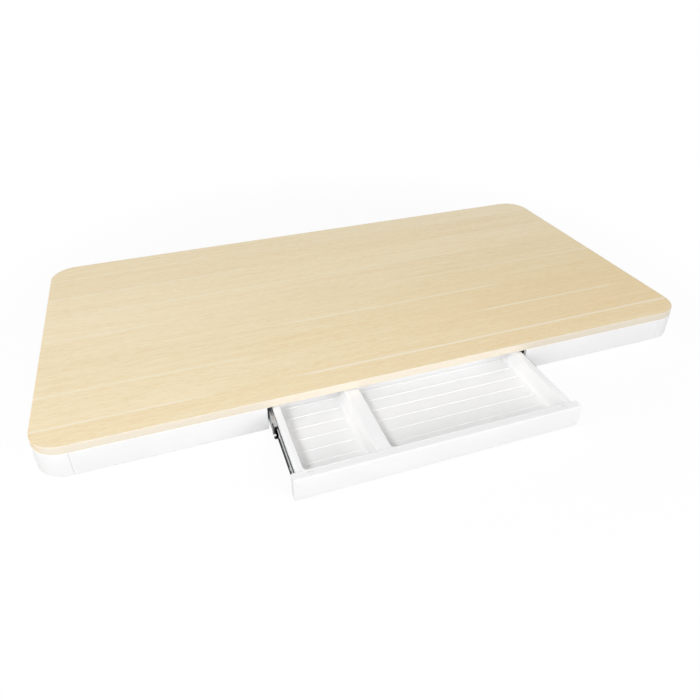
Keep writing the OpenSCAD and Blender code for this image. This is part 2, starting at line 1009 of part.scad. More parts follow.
top_board();
edge_band();
frame_inserts();
apron_front_left();
apron_front_right();
apron_right();
apron_back();
apron_left();
corner_front_left();
corner_front_right();
corner_back_right();
corner_back_left();
opening_cap_left();
opening_cap_right();
apron_brackets();
bracket_screws();
corner_screws();
left_hanger();
right_hanger();
hanger_screws();
left_fixed_rail();
right_fixed_rail();
fixed_rail_screws();
rear_bumpers();
left_middle_rail();
left_rail_bumper();
right_middle_rail();
right_rail_bumper();
left_outer_cage();
left_outer_balls();
right_outer_cage();
right_outer_balls();
left_inner_cage();
left_inner_balls();
right_inner_cage();
right_inner_balls();
drawer_tray();
drawer_front();
front_cap_left();
front_cap_right();
front_plugs();
front_screws();
left_drawer_rail();
right_drawer_rail();
drawer_rail_screws();
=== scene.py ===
import math

import bmesh
import bpy
from mathutils import Euler, Matrix, Vector
from mathutils.geometry import tessellate_polygon


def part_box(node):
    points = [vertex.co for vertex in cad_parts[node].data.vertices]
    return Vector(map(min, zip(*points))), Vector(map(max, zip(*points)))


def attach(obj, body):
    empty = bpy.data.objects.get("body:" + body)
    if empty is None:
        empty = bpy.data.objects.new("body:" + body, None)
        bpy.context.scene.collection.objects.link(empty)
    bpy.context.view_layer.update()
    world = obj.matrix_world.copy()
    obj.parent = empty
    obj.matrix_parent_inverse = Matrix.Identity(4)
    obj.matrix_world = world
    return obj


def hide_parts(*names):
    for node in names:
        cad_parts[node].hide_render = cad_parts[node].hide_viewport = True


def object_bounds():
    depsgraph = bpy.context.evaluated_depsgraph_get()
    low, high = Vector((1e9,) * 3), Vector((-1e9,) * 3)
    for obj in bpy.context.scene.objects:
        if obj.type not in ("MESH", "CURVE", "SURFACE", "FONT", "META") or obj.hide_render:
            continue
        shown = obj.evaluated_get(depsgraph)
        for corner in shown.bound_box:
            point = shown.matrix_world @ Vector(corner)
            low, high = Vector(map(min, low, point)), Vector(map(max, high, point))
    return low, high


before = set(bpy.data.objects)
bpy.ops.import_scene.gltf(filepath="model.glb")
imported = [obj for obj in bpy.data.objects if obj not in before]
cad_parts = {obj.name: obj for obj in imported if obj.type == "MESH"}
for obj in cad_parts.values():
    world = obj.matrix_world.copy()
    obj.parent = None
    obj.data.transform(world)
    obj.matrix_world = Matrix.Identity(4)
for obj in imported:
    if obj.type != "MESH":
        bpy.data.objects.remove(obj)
cadLow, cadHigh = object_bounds()
scene = bpy.context.scene
mm = 0.001
quarterTurn = math.radians(90)


# Camera

photoCamera = {
    "imageSize": 700,               # pixels, both ways
    "focalPixels": 603.63,
    "axisPixel": (340.37, 298.48),  # where the lens axis meets the picture
    "sensorWidth": 36,              # millimetres
    "nearest": 0.01,                # metres
    "place": (-362.3, -1048.2, 652.5),
    "azimuth": 18.272,              # degrees, turned from +Y towards +X
    "elevation": 30.879,            # degrees, looking down
    "roll": -0.671,
}


def setCamera(view):
    data = bpy.data.cameras.new("photoCamera")
    size = view["imageSize"]
    data.sensor_width = view["sensorWidth"]
    data.lens = view["focalPixels"] / size * data.sensor_width
    data.shift_x = 0.5 - view["axisPixel"][0] / size
    data.shift_y = view["axisPixel"][1] / size - 0.5
    data.clip_start = view["nearest"]
    camera = bpy.data.objects.new("photoCamera", data)
    tilt = Euler((math.radians(90 - view["elevation"]), 0, math.radians(-view["azimuth"])))
    roll = Matrix.Rotation(math.radians(view["roll"]), 4, "Z")
    spot = Matrix.Translation(Vector(view["place"]) * mm)
    camera.matrix_world = spot @ tilt.to_matrix().to_4x4() @ roll
    scene.collection.objects.link(camera)
    scene.camera = camera


setCamera(photoCamera)
print("camera set")


# Shader wires: maths on sockets, and one method for every other node

class Wire:
    def __init__(self, tree, socket=None):
        self.tree = tree
        self.socket = socket

    def node(self, kind, settings=None, sockets=None, output=0):
        made = self.tree.nodes.new("ShaderNode" + kind)
        for name, value in (settings or {}).items():
            setattr(made, name, value)
        for name, value in (sockets or {}).items():
            if isinstance(value, Wire):
                self.tree.links.new(value.socket, made.inputs[name])
            else:
                made.inputs[name].default_value = value
        return Wire(self.tree, made.outputs[output])

    def other(self, output):        # another output of the same node
        return Wire(self.tree, self.socket.node.outputs[output])

    def maths(self, operation, first, second=0.0):
        return self.node("Math", {"operation": operation}, {0: first, 1: second})

    def __add__(self, value):
        return self.maths("ADD", self, value)

    def __radd__(self, value):
        return self.maths("ADD", value, self)

    def __sub__(self, value):
        return self.maths("SUBTRACT", self, value)

    def __rsub__(self, value):
        return self.maths("SUBTRACT", value, self)

    def __mul__(self, value):
        return self.maths("MULTIPLY", self, value)

    def __rmul__(self, value):
        return self.maths("MULTIPLY", value, self)

    def __truediv__(self, value):
        return self.maths("DIVIDE", self, value)

    def __rtruediv__(self, value):
        return self.maths("DIVIDE", value, self)


def toLinear(shade):                # one channel of a display colour, 0 to 1
    return shade / 12.92 if shade < 0.04045 else ((shade + 0.055) / 1.055) ** 2.4


def paint(red, green, blue):        # 8-bit display colour to a linear one
    return (toLinear(red / 255), toLinear(green / 255), toLinear(blue / 255), 1.0)


def newFinish(name, plain):
    material = bpy.data.materials.new(name)
    material.use_nodes = True
    shader = material.node_tree.nodes["Principled BSDF"]
    for socket, value in plain.items():
        shader.inputs[socket].default_value = value
    return material, shader, Wire(material.node_tree)


def feed(shader, wires):
    for socket, wire in wires.items():
        wire.tree.links.new(wire.socket, shader.inputs[socket])


def onObject(start):                # places on the piece itself, in metres
    return start.node("TexCoord", output="Object")


def noiseAt(spot, stretch, detail=2.0, rough=0.5, shift=0.0):   # stretch: bumps to the metre
    spread = {0: spot, 1: stretch, 2: (shift,) * 3}
    moved = spot.node("VectorMath", {"operation": "MULTIPLY_ADD"}, spread)
    sockets = {"Vector": moved, "Scale": 1.0, "Detail": detail, "Roughness": rough}
    return spot.node("TexNoise", {}, sockets)


def smooth(wire, low, high):        # 0 below low, 1 above high
    ends = {0: wire, 1: low, 2: high, 3: 0.0, 4: 1.0}
    return wire.node("MapRange", {"interpolation_type": "SMOOTHSTEP"}, ends)


def mixed(share, first, second):    # colours
    return share.node("Mix", {"data_type": "RGBA"}, {0: share, 6: first, 7: second}, output=2)


def bumpFrom(height, depth, strength=0.5):      # depth in metres
    return height.node("Bump", {}, {"Height": height, "Distance": depth, "Strength": strength})


# Finishes: each noise has its bumps to the metre along x, y and z

woodLook = {
    "deep": paint(235, 208, 157),
    "pale": paint(251, 236, 202),
    "streak": paint(254, 248, 232),
    "plankWidth": 82 * mm,
    "firstJoint": -254 * mm,        # front-most pale joint, from the middle
    "wander": 7 * mm,               # how far a joint strays from a straight line
    "slow": {"stretch": (1.6, 3.0, 0.0), "detail": 1.0},
    "streakHalf": 4.2 * mm,
    "streakEase": 90 * mm,          # length over which a streak fades in and out
    "streaks": [                    # joint number from the front, start and end along x, strength
        (0, -700, -300, 0.55), (0, -220, 700, 0.65), (1, -700, -200, 0.4), (1, 170, 580, 0.45),
        (2, -210, 350, 0.5), (3, -700, -340, 0.4), (3, 40, 700, 0.35), (4, -580, 360, 0.36),
        (5, -700, -80, 0.4), (5, 230, 700, 0.25), (6, -700, 120, 0.2),
    ],
    "bend": {"stretch": (3.2, 9.0, 0.0), "shift": 4.7},
    "bendReach": 30 * mm,           # how far the grain lines bend
    "boardShift": 370 * mm,         # the grain is moved by this from board to board
    "lines": {"stretch": (3.4, 85.0, 1.0), "detail": 3.0, "rough": 0.6},
    "fine": {"stretch": (26.0, 400.0, 1.0), "rough": 0.6, "shift": 2.1},
    "dashes": {"stretch": (85.0, 520.0, 1.0), "detail": 1.0, "shift": 8.3},
    "dashFrom": (0.46, 0.72),
    "tone": (0.8, 2.3),             # change of tone along a board, to the metre, and from board to board
    "middle": 0.66,                 # share of the pale colour, then what each noise adds to it
    "lineWeight": 0.7,
    "fineWeight": 0.75,
    "dashWeight": 0.26,
    "toneWeight": 0.45,
    "backFrom": (-0.15, 0.25),      # along y, metres
    "rightFrom": (-0.45, 0.5),      # along x
    "paintedLightBack": 0.18,               # painted light and shade: the boards are painted paler towards the back and the left front, darker towards the right
    "paintedLightLeft": 0.14,
    "paintedShadeRight": 0.34,
    "roughness": 0.42,
    "grainDepth": 0.06 * mm,
    "backing": paint(236, 236, 235),    # white backing sheet under the board
    "backingSheet": 0.4 * mm,
}


def paleStreaks(look, along, joint, fromJoint):     # the pale lines on some of the plank joints
    ease, total = look["streakEase"], 0.0
    for number, start, end, strength in look["streaks"]:
        inRow = joint.node("Math", {"operation": "COMPARE"}, {0: joint, 1: number, 2: 0.5})
        reach = smooth(along, start * mm, start * mm + ease) - smooth(along, end * mm - ease, end * mm)
        total = total + inRow * reach * strength
    return total * (1 - smooth(fromJoint, 0.0, look["streakHalf"]))


def woodTopFinish(look):
    material, shader, start = newFinish("woodTop", {"IOR": 1.46, "Specular IOR Level": 0.3})
    spot = onObject(start)
    along = start.node("SeparateXYZ", {}, {0: spot})
    slow = noiseAt(spot, **look["slow"])
    across = along.other("Y") + (slow - 0.5) * look["wander"]
    plank = (across - look["firstJoint"]) / look["plankWidth"]
    joint = plank.maths("ROUND", plank)
    fromJoint = plank.maths("ABSOLUTE", plank - joint) * look["plankWidth"]
    streaks = paleStreaks(look, along, joint, fromJoint)
    board = plank.maths("FLOOR", plank)
    toneAlong, toneStep = look["tone"]
    toneSpot = start.node("CombineXYZ", {}, {0: along * toneAlong, 1: board * toneStep})
    tone = noiseAt(toneSpot, (1.0, 1.0, 1.0), detail=0.0)
    # the grain bends a little, so its lines follow a moved place
    bend = noiseAt(spot, **look["bend"])
    moved = across + (bend - 0.5) * look["bendReach"] + board * look["boardShift"]
    bent = start.node("CombineXYZ", {}, {0: along, 1: moved})
    lines = noiseAt(bent, **look["lines"])
    fine = noiseAt(bent, **look["fine"])
    dashes = smooth(noiseAt(bent, **look["dashes"]), *look["dashFrom"])
    # painted light and shade: the top is painted paler towards the back and the left front and darker
    # towards the right, for the fall of light
    back = smooth(along.other("Y"), *look["backFrom"])
    right = smooth(along, *look["rightFrom"])
    paintedLightShift = back * look["paintedLightBack"] + (1 - back) * (look["paintedLightLeft"] - right * look["paintedShadeRight"])
    grain = (lines - 0.5) * look["lineWeight"] + (fine - 0.5) * look["fineWeight"]
    grain = grain - dashes * look["dashWeight"]
    share = look["middle"] + grain + (tone - 0.5) * look["toneWeight"] + paintedLightShift
    face = mixed(streaks, mixed(share, look["deep"], look["pale"]), look["streak"])
    sheet = look["backingSheet"]
    aboveSheet = smooth(along.other("Z"), sheet, sheet * 1.5)
    feed(shader, {
        "Base Color": mixed(aboveSheet, look["backing"], face),
        "Roughness": look["roughness"] + (fine - 0.5) * 0.14,
        "Normal": bumpFrom(lines * 0.5 + fine, look["grainDepth"], 0.6),
    })
    return material


bandLook = {
    "deep": paint(231, 220, 202),
    "pale": paint(241, 231, 213),
    "side": paint(243, 218, 177),   # painted shade: the band's left end, round the corner, is painted deeper and warmer
    "leftShadeFrom": (-0.600, -0.572),   # along x, metres
    # painted shade: the band is painted darker towards the right
    "shadeRightFrom": (-0.15, 0.6),
    "slant": math.radians(7),       # of the grain against the band
    "lines": {"stretch": (14.0, 14.0, 420.0), "detail": 3.0, "rough": 0.6},
    "pores": {"stretch": (120.0, 120.0, 1300.0), "detail": 1.0, "shift": 3.3},
    "slow": {"stretch": (4.0, 4.0, 30.0), "detail": 1.0, "shift": 1.4},
    "middle": 0.65,                 # share of the pale colour, then what changes it
    "lineWeight": 1.0,
    "poreWeight": 0.5,
    "slowWeight": 0.3,
    "shadeRightWeight": 0.7,
    "roughness": 0.4,
    "grainDepth": 0.05 * mm,
}


def woodEdgeFinish(look):
    material, shader, start = newFinish("woodEdge", {"IOR": 1.46})
    spot = onObject(start)
    turn = {"Vector": spot, "Angle": look["slant"]}
    slanted = start.node("VectorRotate", {"rotation_type": "Y_AXIS"}, turn)
    lines = noiseAt(slanted, **look["lines"])
    pores = noiseAt(slanted, **look["pores"])
    slow = noiseAt(spot, **look["slow"])
    along = start.node("SeparateXYZ", {}, {0: spot})
    # painted shade: darker towards the right
    rightShade = smooth(along, *look["shadeRightFrom"])
    # painted shade on the band's left end, round the corner
    front = smooth(along, *look["leftShadeFrom"])
    grain = (lines - 0.5) * look["lineWeight"] + (pores - 0.5) * look["poreWeight"]
    share = look["middle"] + grain + (slow - 0.5) * look["slowWeight"] - rightShade * look["shadeRightWeight"]
    feed(shader, {
        "Base Color": mixed(front, look["side"], mixed(share, look["deep"], look["pale"])),
        "Roughness": look["roughness"] + (pores - 0.5) * 0.15,
        "Normal": bumpFrom(lines + pores, look["grainDepth"]),
    })
    return material


coatLook = {                        # powder coat on the straight aprons and the drawer front
    "deep": paint(241, 241, 241),
    "pale": paint(244, 244, 244),
    "roughness": 0.38,
    "peel": 900.0,                  # fine bumps to the metre
    "peelDepth": 0.02 * mm,
}
mouldingLook = {
    "deep": paint(241, 241, 241),
    "pale": paint(244, 244, 243),
    "roughness": 0.34,
    "peel": 2600.0,
    "peelDepth": 0.012 * mm,
}
trayLook = {
    "deep": paint(247, 247, 247),
    "pale": paint(250, 250, 250),
    "roughness": 0.5,
    "peel": 3200.0,
    "peelDepth": 0.01 * mm,
}
hangerLook = {
    "deep": paint(214, 216, 218),
    "pale": paint(226, 227, 228),
    "roughness": 0.45,
    "peel": 1100.0,
    "peelDepth": 0.03 * mm,
}
blackLook = {
    "deep": paint(14, 14, 15),
    "pale": paint(30, 30, 31),
    "roughness": 0.42,
    "peel": 2200.0,
    "peelDepth": 0.02 * mm,
}
coatMarks = {                       # what every coat and moulding has
    "clouds": {"stretch": (9.0, 9.0, 14.0), "detail": 3.0, "rough": 0.6, "shift": 5.2},
    "cloudFrom": (0.3, 0.7),
    "handled": {"stretch": (45.0, 45.0, 60.0), "detail": 4.0, "rough": 0.7, "shift": 1.9},
    "handledWeight": 0.12,
    "peelWeight": 0.06,
}


def coatFinish(name, look, marks=coatMarks):
    material, shader, start = newFinish(name, {"IOR": 1.48})
    spot = onObject(start)
    peel = noiseAt(spot, (look["peel"],) * 3)
    clouds = smooth(noiseAt(spot, **marks["clouds"]), *marks["cloudFrom"])
    handled = (noiseAt(spot, **marks["handled"]) - 0.5) * marks["handledWeight"]
    feed(shader, {
        "Base Color": mixed(clouds, look["deep"], look["pale"]),
        "Roughness": look["roughness"] + handled + (peel - 0.5) * marks["peelWeight"],
        "Normal": bumpFrom(peel, look["peelDepth"]),
    })
    return material


railLook = {
    "deep": paint(120, 122, 125),
    "pale": paint(236, 238, 240),
    "roughness": 0.3,
    "drawn": (420.0, 7.0, 420.0),
}
drawerRailLook = {
    "deep": paint(185, 187, 189),
    "pale": paint(236, 237, 238),
    "roughness": 0.3,
    "drawn": (900.0, 7.0, 900.0),
    "paintedShade": paint(105, 106, 108),  # painted shade: dark all over but for a bright line along the outer edge of the upper flange
    "edgeFrom": (0.2350, 0.2353),   # from the middle, metres
    "edgeLevel": (-0.0145, -0.0140),
}
zincLook = {
    "deep": paint(168, 170, 172),
    "pale": paint(214, 215, 214),
    "roughness": 0.34,
    "drawn": (600.0, 600.0, 600.0),
}
cageLook = {
    "deep": paint(96, 98, 100),
    "pale": paint(150, 151, 152),
    "roughness": 0.4,
    "drawn": (1200.0, 12.0, 1200.0),
}
ballLook = {
    "deep": paint(200, 201, 203),
    "pale": paint(228, 229, 230),
    "roughness": 0.12,
    "drawn": (900.0, 900.0, 900.0),
}
brassLook = {
    "deep": paint(186, 146, 76),
    "pale": paint(222, 188, 116),
    "roughness": 0.3,
    "drawn": (700.0, 700.0, 700.0),
}
steelMarks = {                      # what every metal has
    "spots": {"stretch": (160.0, 160.0, 160.0), "detail": 3.0, "rough": 0.65, "shift": 6.1},
    "colourWeights": (1.3, 0.7),    # of the drawn lines and of the spots
    "roughWeights": (0.25, 0.1),
    "depth": 0.02 * mm,
}


def steelFinish(name, look, marks=steelMarks):
    material, shader, start = newFinish(name, {"Metallic": 1.0})
    spot = onObject(start)
    height = noiseAt(spot, look["drawn"], detail=3.0, rough=0.6)
    drawn = height - 0.5
    spots = noiseAt(spot, **marks["spots"]) - 0.5
    byLines, bySpots = marks["colourWeights"]
    colour = mixed(0.5 + drawn * byLines + spots * bySpots, look["deep"], look["pale"])
    # painted shade on the drawer rail; only the outer edge of the upper flange keeps the plain steel
    # colour, as a bright line
    if "paintedShade" in look:
        along = start.node("SeparateXYZ", {}, {0: spot})
        aside = along.maths("ABSOLUTE", along)
        edge = smooth(aside, *look["edgeFrom"]) * smooth(along.other("Z"), *look["edgeLevel"])
        colour = mixed(edge, look["paintedShade"], colour)
    byLines, bySpots = marks["roughWeights"]
    feed(shader, {
        "Base Color": colour,
        "Roughness": look["roughness"] + drawn * byLines + spots * bySpots,
        "Normal": bumpFrom(height, marks["depth"]),
    })
    return material


finishes = {
    "wood_top": woodTopFinish(woodLook),
    "wood_edge": woodEdgeFinish(bandLook),
    "white_profile": coatFinish("whiteProfile", coatLook),
    "white_moulding": coatFinish("whiteMoulding", mouldingLook),
    "tray_plastic": coatFinish("trayPlastic", trayLook),
    "hanger_steel": coatFinish("hangerCoat", hangerLook),
    "zinc_steel": steelFinish("zincSteel", zincLook),
    "rail_steel": steelFinish("railSteel", railLook),
    "drawer_rail": steelFinish("drawerRail", drawerRailLook),
    "cage_steel": steelFinish("cageSteel", cageLook),
    "ball_steel": steelFinish("ballSteel", ballLook),
    "black_plastic": coatFinish("blackPlastic", blackLook),
    "brass": steelFinish("brass", brassLook),
}
print("finishes:", len(finishes))


# Shapes

class PieceMesh:
    def __init__(self):
        self.points = []
        self.faces = []

    def ring(self, points):
        first = len(self.points)
        self.points.extend(Vector(p) for p in points)
        return list(range(first, len(self.points)))

    def skin(self, rings):          # quads between rings of one length
        for low, high in zip(rings, rings[1:]):
            for i in range(len(low)):
                self.faces.append((low[i - 1], low[i], high[i], high[i - 1]))

    def fill(self, *rings):         # a flat face in the first ring, with the others as holes
        flatRing = [i for ring in rings for i in ring]
        for corners in tessellate_polygon([[self.points[i] for i in ring] for ring in rings]):
            self.faces.append(tuple(flatRing[i] for i in corners))

    def sweep(self, stations):      # rings of points, closed at both ends
        rings = [self.ring(points) for points in stations]
        self.skin(rings)
        self.fill(rings[0])
        self.fill(rings[-1])

    def mesh(self, name):
        mesh = bpy.data.meshes.new(name)
        mesh.from_pydata(self.points, [], self.faces)
        shape = bmesh.new()
        shape.from_mesh(mesh)
        bmesh.ops.remove_doubles(shape, verts=shape.verts, dist=1e-7)
        bmesh.ops.recalc_face_normals(shape, faces=shape.faces)
        shape.to_mesh(mesh)
        shape.free()
        return mesh


def carve(mesh, tool, operation):   # joins two closed meshes into a new one
    keep = bpy.data.objects.new("carveBody", mesh)
    other = bpy.data.objects.new("carveTool", tool)
    for obj in (keep, other):
        scene.collection.objects.link(obj)
    cut = keep.modifiers.new("carve", "BOOLEAN")
    cut.operation = operation
    cut.solver = "EXACT"
    cut.object = other
    bpy.context.view_layer.update()
    shaped = keep.evaluated_get(bpy.context.evaluated_depsgraph_get())
    made = bpy.data.meshes.new_from_object(shaped)
    for obj in (keep, other):
        bpy.data.objects.remove(obj)
    return made


def place(name, mesh, body, slot, nodes=(), sharp=32, finish=None):     # sharp: edges from this angle on
    shape = bmesh.new()
    shape.from_mesh(mesh)
    for face in shape.faces:
        face.smooth = True
        face.material_index = 0
    for edge in shape.edges:
        edge.smooth = edge.calc_face_angle(0.0) < math.radians(sharp)
    shape.to_mesh(mesh)
    shape.free()
    mesh.name = name
    mesh.materials.clear()
    mesh.materials.append(finishes[finish or slot])
    obj = bpy.data.objects.new(name, mesh)
    scene.collection.objects.link(obj)
    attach(obj, body)
    if nodes:
        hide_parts(*nodes)


def flat(x, y):
    return Vector((x, y))


def evenSteps(end, steps):          # from 0 to the end
    return [end * i / steps for i in range(steps + 1)]


def arcTo(centre, radius, start, end, steps):       # degrees
    turns = [math.radians(start) + t for t in evenSteps(math.radians(end - start), steps)]
    return [centre + radius * flat(math.cos(t), math.sin(t)) for t in turns]


def roundRect(low, high, radii, steps=6):           # radii: low-low, high-low, high-high, low-high
    corners = [
        (flat(low.x + radii[0], low.y + radii[0]), radii[0], 180),
        (flat(high.x - radii[1], low.y + radii[1]), radii[1], 270),
        (flat(high.x - radii[2], high.y - radii[2]), radii[2], 0),
        (flat(low.x + radii[3], high.y - radii[3]), radii[3], 90),
    ]
    return [p for centre, r, turn in corners for p in arcTo(centre, r, turn, turn + 90, steps)]


def inset(outline, distance):                       # outline runs anticlockwise
    moved = []
    for i, here in enumerate(outline):
        before = (here - outline[i - 1]).normalized()
        after = (outline[(i + 1) % len(outline)] - here).normalized()
        inward = flat(-before.y - after.y, before.x + after.x)
        moved.append(here + inward * distance / (1 + before.dot(after)))
    return moved


def edgeSteps(low, high, lowRound, highRound):      # (drawn in, level) up a wall with rounded edges
    turns = evenSteps(quarterTurn, 5)
    lower = [(lowRound * (1 - math.sin(t)), low + lowRound * (1 - math.cos(t))) for t in turns]
    upper = [(highRound * (1 - math.cos(t)), high - highRound * (1 - math.sin(t))) for t in turns]
    return lower + upper


def level(outline, z):
    return [(p.x, p.y, z) for p in outline]


def liesIn(edge, planes):                           # planes: axis and value of each
    return all(abs(v.co[axis] - value) < 1e-6 for v in edge.verts for axis, value in planes.items())


def roundedBlock(low, high, rounds=(), sharp=None):     # rounds: planes an edge lies in, its radius
    shape = bmesh.new()
    bmesh.ops.create_cube(shape, size=1.0)
    middle, size = (low + high) / 2, high - low
    for v in shape.verts:
        v.co = Vector(middle[i] + v.co[i] * size[i] for i in range(3))
    for planes, radius in rounds:
        edges = [e for e in shape.edges if liesIn(e, planes) and not (sharp and liesIn(e, sharp))]
        bmesh.ops.bevel(shape, geom=edges, offset=radius, segments=4, profile=0.5, affect="EDGES")
    mesh = bpy.data.meshes.new("block")
    shape.to_mesh(mesh)
    shape.free()
    return mesh


def turned(profile, centre, steps=48):              # profile: (radius, height) pairs
    shell = PieceMesh()
    spin = [math.tau * i / steps for i in range(steps)]
    shell.sweep([
        [centre + Vector((r * math.cos(t), r * math.sin(t), h)) for t in spin]
        for r, h in profile
    ])
    return shell


# Board: the slab keeps its drilled solid, the band gets rounded edges

bandShape = {
    "thickness": 1.0 * mm,
    "topRound": 0.8 * mm,
    "lowRound": 0.4 * mm,
    "cornerRadius": 50 * mm,
}


def makeBand(shape):
    low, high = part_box("edge_band")
    outline = roundRect(low, high, [shape["cornerRadius"]] * 4, steps=24)
    steps = edgeSteps(low.z, high.z, shape["lowRound"], shape["topRound"])
    steps += [(shape["thickness"], high.z), (shape["thickness"], low.z)]
    shell = PieceMesh()
    rings = [shell.ring(level(inset(outline, d), z)) for d, z in steps]
    shell.skin(rings + rings[:1])
    place("edgeBand", shell.mesh("edgeBand"), "desk", "wood_edge", ["edge_band"])


makeBand(bandShape)
print("board band done")


# Apron: straight profiles, corner mouldings and the caps at the gap

apronShape = {
    "topRound": 0.5 * mm,           # outer edge under the board
    "lowRound": 1.6 * mm,
    "innerRound": 0.6 * mm,
    "cornerRadius": 50.8 * mm,
    "seamBevel": 0.12 * mm,
    "seamGap": 0.25 * mm,           # between a corner moulding and the straight pieces
    "cornerWall": 2.5 * mm,
    "hollowRound": 0.5 * mm,        # inside a corner moulding, which is open below
    "hollowPast": 5 * mm,
    "capRound": 1.1 * mm,
    "capFoot": 3.0 * mm,            # rounded lower corner towards the gap
    "capCover": 7.0 * mm,           # depth of the white cover; behind it a black block stands in for the shade deep in the gap
    "shadeBlockBack": 0.3 * mm,           # how far the black block stays back from the cover's side
    "capBack": {"left": 0.0, "right": 1.2 * mm},    # how far a cover's side stays back from its solid
}
frontLow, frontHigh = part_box("apron_front_left")
gapLow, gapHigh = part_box("apron_front_right")
rightLow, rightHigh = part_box("apron_right")
backLow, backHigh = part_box("apron_back")
leftLow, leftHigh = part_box("apron_left")
apronDepth = frontHigh.y - frontLow.y


def apronSection(shape):            # (depth from the outer face, level)
    radii = [shape["lowRound"], shape["innerRound"], shape["innerRound"], shape["topRound"]]
    return roundRect(flat(0, frontLow.z), flat(apronDepth, frontHigh.z), radii)


def sectionAt(spot, inward, section):
    return [(spot.x + inward.x * p.x, spot.y + inward.y * p.x, p.y) for p in section]


def alongPath(path, section):       # path: (spot, inward) pairs
    shell = PieceMesh()
    shell.sweep([sectionAt(spot, inward, section) for spot, inward in path])
    return shell


def withSeams(path, section, seam):     # the same, with a small bevel at both ends
    (first, firstIn), (last, lastIn) = path[0], path[-1]
    start = first + (path[1][0] - first).normalized() * seam
    end = last + (path[-2][0] - last).normalized() * seam
    slim = inset(section, seam)
    stations = [sectionAt(first, firstIn, slim), sectionAt(start, firstIn, section)]
    stations += [sectionAt(spot, inward, section) for spot, inward in path[1:-1]]
    stations += [sectionAt(end, lastIn, section), sectionAt(last, lastIn, slim)]
    shell = PieceMesh()
    shell.sweep(stations)
    return shell


def roundTheCorner(start, corner, end, radius, trim):   # a path that stops short by trim at both ends
    ahead = (corner - start).normalized()
    aside = (end - corner).normalized()
    centre = corner - ahead * radius + aside * radius
    turns = evenSteps(quarterTurn, 16)
    bend = [centre - aside * radius * math.cos(t) + ahead * radius * math.sin(t) for t in turns]
    path = [(start + ahead * trim, aside)]
    path += [(spot, (centre - spot).normalized()) for spot in bend]
    return path + [(end - aside * trim, -ahead)]


def makeAprons(shape):
    section = apronSection(shape)
    runs = {
        "apron_front_left": (flat(frontLow.x, frontLow.y), flat(frontHigh.x, frontLow.y), flat(0, 1)),
        "apron_front_right": (flat(gapLow.x, gapLow.y), flat(gapHigh.x, gapLow.y), flat(0, 1)),
        "apron_right": (flat(rightHigh.x, rightLow.y), flat(rightHigh.x, rightHigh.y), flat(-1, 0)),
        "apron_back": (flat(backHigh.x, backHigh.y), flat(backLow.x, backHigh.y), flat(0, -1)),
        "apron_left": (flat(leftLow.x, leftHigh.y), flat(leftLow.x, leftLow.y), flat(1, 0)),
    }
    for node, (start, end, inward) in runs.items():
        shell = withSeams([(start, inward), (end, inward)], section, shape["seamBevel"])
        place(node + "_skin", shell.mesh(node), "desk", "white_profile", [node])


def makeCorners(shape):
    section = apronSection(shape)
    wall, radius = shape["cornerWall"], shape["cornerRadius"]
    hollowLow = flat(wall, frontLow.z - shape["hollowPast"])
    hollowHigh = flat(apronDepth - wall, frontHigh.z - wall)
    hollow = roundRect(hollowLow, hollowHigh, [shape["hollowRound"]] * 4, steps=3)
    left, right, front, back = leftLow.x, rightHigh.x, frontLow.y, backHigh.y
    runs = {                        # where a moulding starts, its sharp corner and its end
        "corner_front_left": (flat(left, leftLow.y), flat(left, front), flat(frontLow.x, front)),
        "corner_front_right": (flat(gapHigh.x, front), flat(right, front), flat(right, rightLow.y)),
        "corner_back_right": (flat(right, rightHigh.y), flat(right, back), flat(backHigh.x, back)),
        "corner_back_left": (flat(backLow.x, back), flat(left, back), flat(left, leftHigh.y)),
    }
    for node, run in runs.items():
        body = withSeams(roundTheCorner(*run, radius, shape["seamGap"]), section, shape["seamBevel"])
        room = alongPath(roundTheCorner(*run, radius, wall), hollow)
        mesh = carve(body.mesh(node), room.mesh("room"), "DIFFERENCE")
        place(node + "_skin", mesh, "desk", "white_moulding", [node])


def makeGapCaps(shape):
    back, foot = shape["shadeBlockBack"], shape["capFoot"]
    for side, hand, joint in ((-1, "left", frontHigh.x), (1, "right", gapLow.x)):
        node = "opening_cap_" + hand
        low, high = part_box(node)
        face = (high.x if side < 0 else low.x) + side * shape["capBack"][hand]
        low = Vector((min(face, joint), frontLow.y, frontLow.z))
        high = Vector((max(face, joint), frontLow.y + shape["capCover"], frontHigh.z))
        rounds = [({0: face, 2: low.z}, foot), ({1: low.y}, shape["capRound"])]
        cover = roundedBlock(low, high, rounds, sharp={0: joint})
        place(node + "_cover", cover, "desk", "white_moulding", [node])
        # painted shade: a black block behind the white cover, for the dark deep in the gap
        inner = face + side * back
        shadeBlockLow = Vector((min(inner, joint), high.y, low.z + back))
        shadeBlockHigh = Vector((max(inner, joint), frontHigh.y - back, high.z - back))
        rounds = [({0: inner, 2: shadeBlockLow.z}, foot), ({1: shadeBlockHigh.y}, back)]
        plug = roundedBlock(shadeBlockLow, shadeBlockHigh, rounds)
        place(node + "_plug", plug, "desk", "black_plastic", [node])


makeAprons(apronShape)
makeCorners(apronShape)
makeGapCaps(apronShape)
print("apron done")


# Tray: one moulding, two wells, ribs on the floors, hollow below

